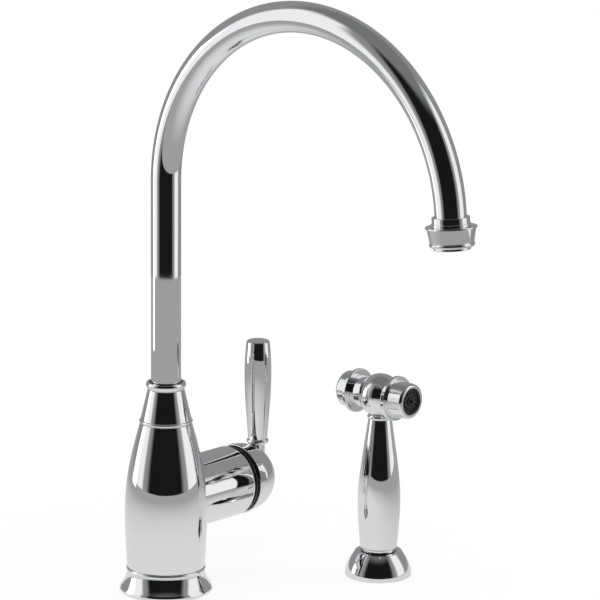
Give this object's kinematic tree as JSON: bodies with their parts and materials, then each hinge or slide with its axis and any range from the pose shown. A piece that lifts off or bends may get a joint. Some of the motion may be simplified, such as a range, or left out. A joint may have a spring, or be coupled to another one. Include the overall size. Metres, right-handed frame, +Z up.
{
  "type": "side spray kitchen faucet",
  "caption": "Single-lever kitchen faucet with a swivelling arched spout, and a hand spray with a push button that lifts out of its own holder.",
  "frame": {"origin": "centre of the faucet's base flange where it sits on the worktop", "axes": "+Z up, -Y along the spout's reach towards the sink, +X along the lever housing; the hand spray's holder stands on the same worktop at x 136.5 mm, y -90.5 mm"},
  "size_m": [0.1959, 0.3165, 0.526],
  "materials": {
    "chrome": "polished chrome plate",
    "brass": "machined brass",
    "rubber": "matt black rubber",
    "white_nylon": "moulded nylon",
    "black_plastic": "gloss black moulding",
    "grey_plastic": "pale grey moulding",
    "ceramic": "lapped ceramic",
    "steel": "plain stainless steel"
  },
  "bodies": {
    "faucet_body": {"base_flange": "chrome", "flange_gasket": "rubber", "body_shell": "chrome", "spout_bonnet": "chrome", "waterway_core": "brass", "diverter_valve": "white_nylon", "mounting_shank": "brass", "shank_rubber_washer": "rubber", "shank_clamp_plate": "steel", "shank_nut": "brass", "cartridge_base": "white_nylon", "cartridge_seals": "rubber", "cartridge_case": "white_nylon", "cartridge_fixed_disc": "ceramic", "cartridge_retaining_nut": "brass", "cartridge_shroud": "black_plastic", "spout_thrust_washer": "white_nylon", "spout_bush": "white_nylon", "spout_collar_ring": "black_plastic", "spray_escutcheon": "chrome", "escutcheon_gasket": "rubber", "spray_shank": "brass", "spray_guide_liner": "black_plastic", "spray_shank_washer": "rubber", "spray_shank_nut": "brass"},
    "turret": {"cartridge_rotor": "white_nylon", "spindle_pin": "brass"},
    "disc_slider": {"cartridge_moving_disc": "ceramic", "disc_carrier": "white_nylon"},
    "handle": {"cartridge_spindle": "brass", "handle_cap": "chrome", "lever_stem": "chrome", "lever_grip": "chrome", "handle_grub_screw": "steel"},
    "spout": {"spout_tube": "chrome", "spout_stem_sleeve": "brass", "spout_o_rings": "rubber", "nozzle_collar": "chrome", "nozzle_shroud": "chrome", "aerator_washer": "rubber", "aerator_housing": "chrome", "aerator_insert": "grey_plastic"},
    "spray_inlet": {"spray_inlet_adaptor": "brass", "swivel_o_ring": "rubber", "swivel_clip": "steel"},
    "handset": {"spray_handle": "chrome", "spray_neck_collar": "chrome", "neck_nipple": "brass", "spray_ball": "chrome", "rear_guide_neck": "chrome", "stem_seal": "rubber", "valve_seat": "brass", "nozzle_sleeve": "chrome", "spring_retainer": "white_nylon", "face_washer": "rubber", "spray_face": "black_plastic"},
    "button": {"spray_button": "chrome", "valve_stem": "brass", "valve_poppet": "rubber", "button_spring": "steel"}
  },
  "joints": [
    {"name": "spout_swivel", "type": "hinge", "parent": "faucet_body", "child": "spout", "pos_m": [0, 0, 0.115], "axis": [0, 0, 1], "continuous": true},
    {"name": "temperature_turn", "type": "hinge", "parent": "faucet_body", "child": "turret", "pos_m": [0.05, 0, 0.0693], "axis": [1, 0, 0], "range_deg": [-45, 45]},
    {"name": "flow_lift", "type": "hinge", "parent": "turret", "child": "handle", "pos_m": [0.05, 0, 0.0693], "axis": [0, 1, 0], "range_deg": [0, 20]},
    {"name": "disc_slide", "type": "slide", "parent": "turret", "child": "disc_slider", "axis": [0, 0, 1], "range_m": [0, 0.0035]},
    {"name": "spray_lift", "type": "slide", "parent": "faucet_body", "child": "spray_inlet", "axis": [0, 0, 1], "range_m": [0, 0.15]},
    {"name": "spray_swivel", "type": "hinge", "parent": "spray_inlet", "child": "handset", "pos_m": [0.1365, -0.0905, 0.025], "axis": [0, 0, 1], "continuous": true},
    {"name": "spray_button_press", "type": "slide", "parent": "handset", "child": "button", "axis": [0, -1, 0], "range_m": [0, 0.004], "stiffness_N_per_m": 600, "springref_m": -0.006, "deforming": ["button_spring"]}
  ],
  "couplings": [
    {"joint": "disc_slide", "follows": "flow_lift", "m_per_rad": 0.0095}
  ]
}
